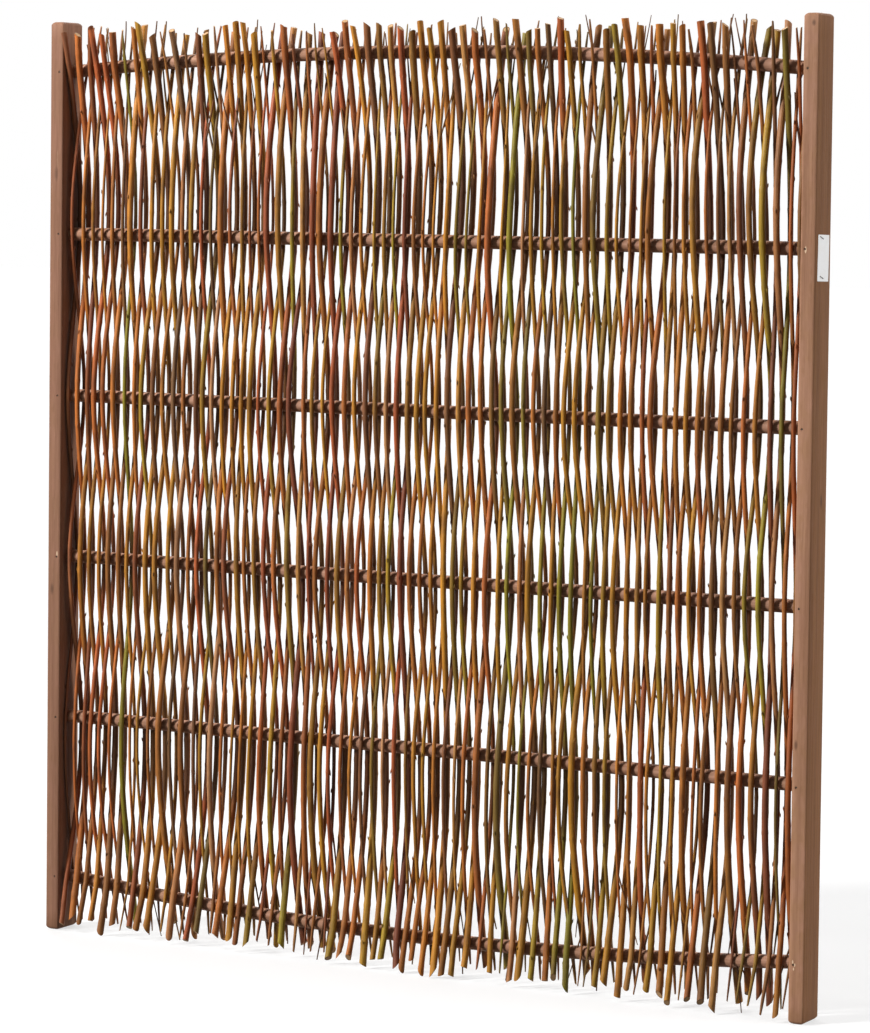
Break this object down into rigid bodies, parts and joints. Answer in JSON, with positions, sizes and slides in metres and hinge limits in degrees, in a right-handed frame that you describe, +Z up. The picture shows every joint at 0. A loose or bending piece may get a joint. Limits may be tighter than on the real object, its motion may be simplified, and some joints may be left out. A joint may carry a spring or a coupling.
{
  "type": "woven willow hurdle",
  "caption": "Fence panel of upright willow rods woven between round timber rails that are let into two slim posts, for screening or edging a garden.",
  "frame": {"origin": "on the ground, midway between the two posts and midway through their depth", "axes": "+X to the right seen from the front, +Y to the back, +Z up along the posts"},
  "size_m": [1.1, 0.0517, 1.206],
  "materials": {
    "post_timber": "planed and stained softwood, matt",
    "rail_timber": "turned and stained softwood, matt",
    "willow_bark": "dried willow bark, satin",
    "brad_steel": "bright wire nail"
  },
  "bodies": {
    "root": {"left_post": "post_timber", "right_post": "post_timber", "bottom_rail": "rail_timber", "rail_2": "rail_timber", "rail_3": "rail_timber", "rail_4": "rail_timber", "rail_5": "rail_timber", "top_rail": "rail_timber", "left_brads": "brad_steel", "right_brads": "brad_steel", "willow_rods_01": "willow_bark", "willow_rods_02": "willow_bark", "willow_rods_03": "willow_bark", "willow_rods_04": "willow_bark", "willow_rods_05": "willow_bark", "willow_rods_06": "willow_bark", "willow_rods_07": "willow_bark", "willow_rods_08": "willow_bark", "willow_rods_09": "willow_bark", "willow_rods_10": "willow_bark", "willow_rods_11": "willow_bark", "willow_rods_12": "willow_bark", "willow_rods_13": "willow_bark", "willow_rods_14": "willow_bark", "willow_rods_15": "willow_bark", "willow_rods_16": "willow_bark", "willow_rods_17": "willow_bark", "willow_rods_18": "willow_bark", "willow_rods_19": "willow_bark", "willow_rods_20": "willow_bark", "willow_rods_21": "willow_bark", "willow_rods_22": "willow_bark", "willow_rods_23": "willow_bark", "willow_rods_24": "willow_bark", "willow_rods_25": "willow_bark", "willow_rods_26": "willow_bark", "willow_rods_27": "willow_bark", "willow_rods_28": "willow_bark", "willow_rods_29": "willow_bark", "willow_rods_30": "willow_bark", "willow_rods_31": "willow_bark", "willow_rods_32": "willow_bark", "willow_rods_33": "willow_bark", "willow_rods_34": "willow_bark", "willow_rods_35": "willow_bark", "willow_rods_36": "willow_bark", "willow_rods_37": "willow_bark", "willow_rods_38": "willow_bark", "willow_rods_39": "willow_bark", "willow_rods_40": "willow_bark", "willow_rods_41": "willow_bark", "willow_rods_42": "willow_bark", "willow_rods_43": "willow_bark", "willow_rods_44": "willow_bark", "willow_rods_45": "willow_bark", "willow_rods_46": "willow_bark", "willow_rods_47": "willow_bark"}
  },
  "joints": []
}
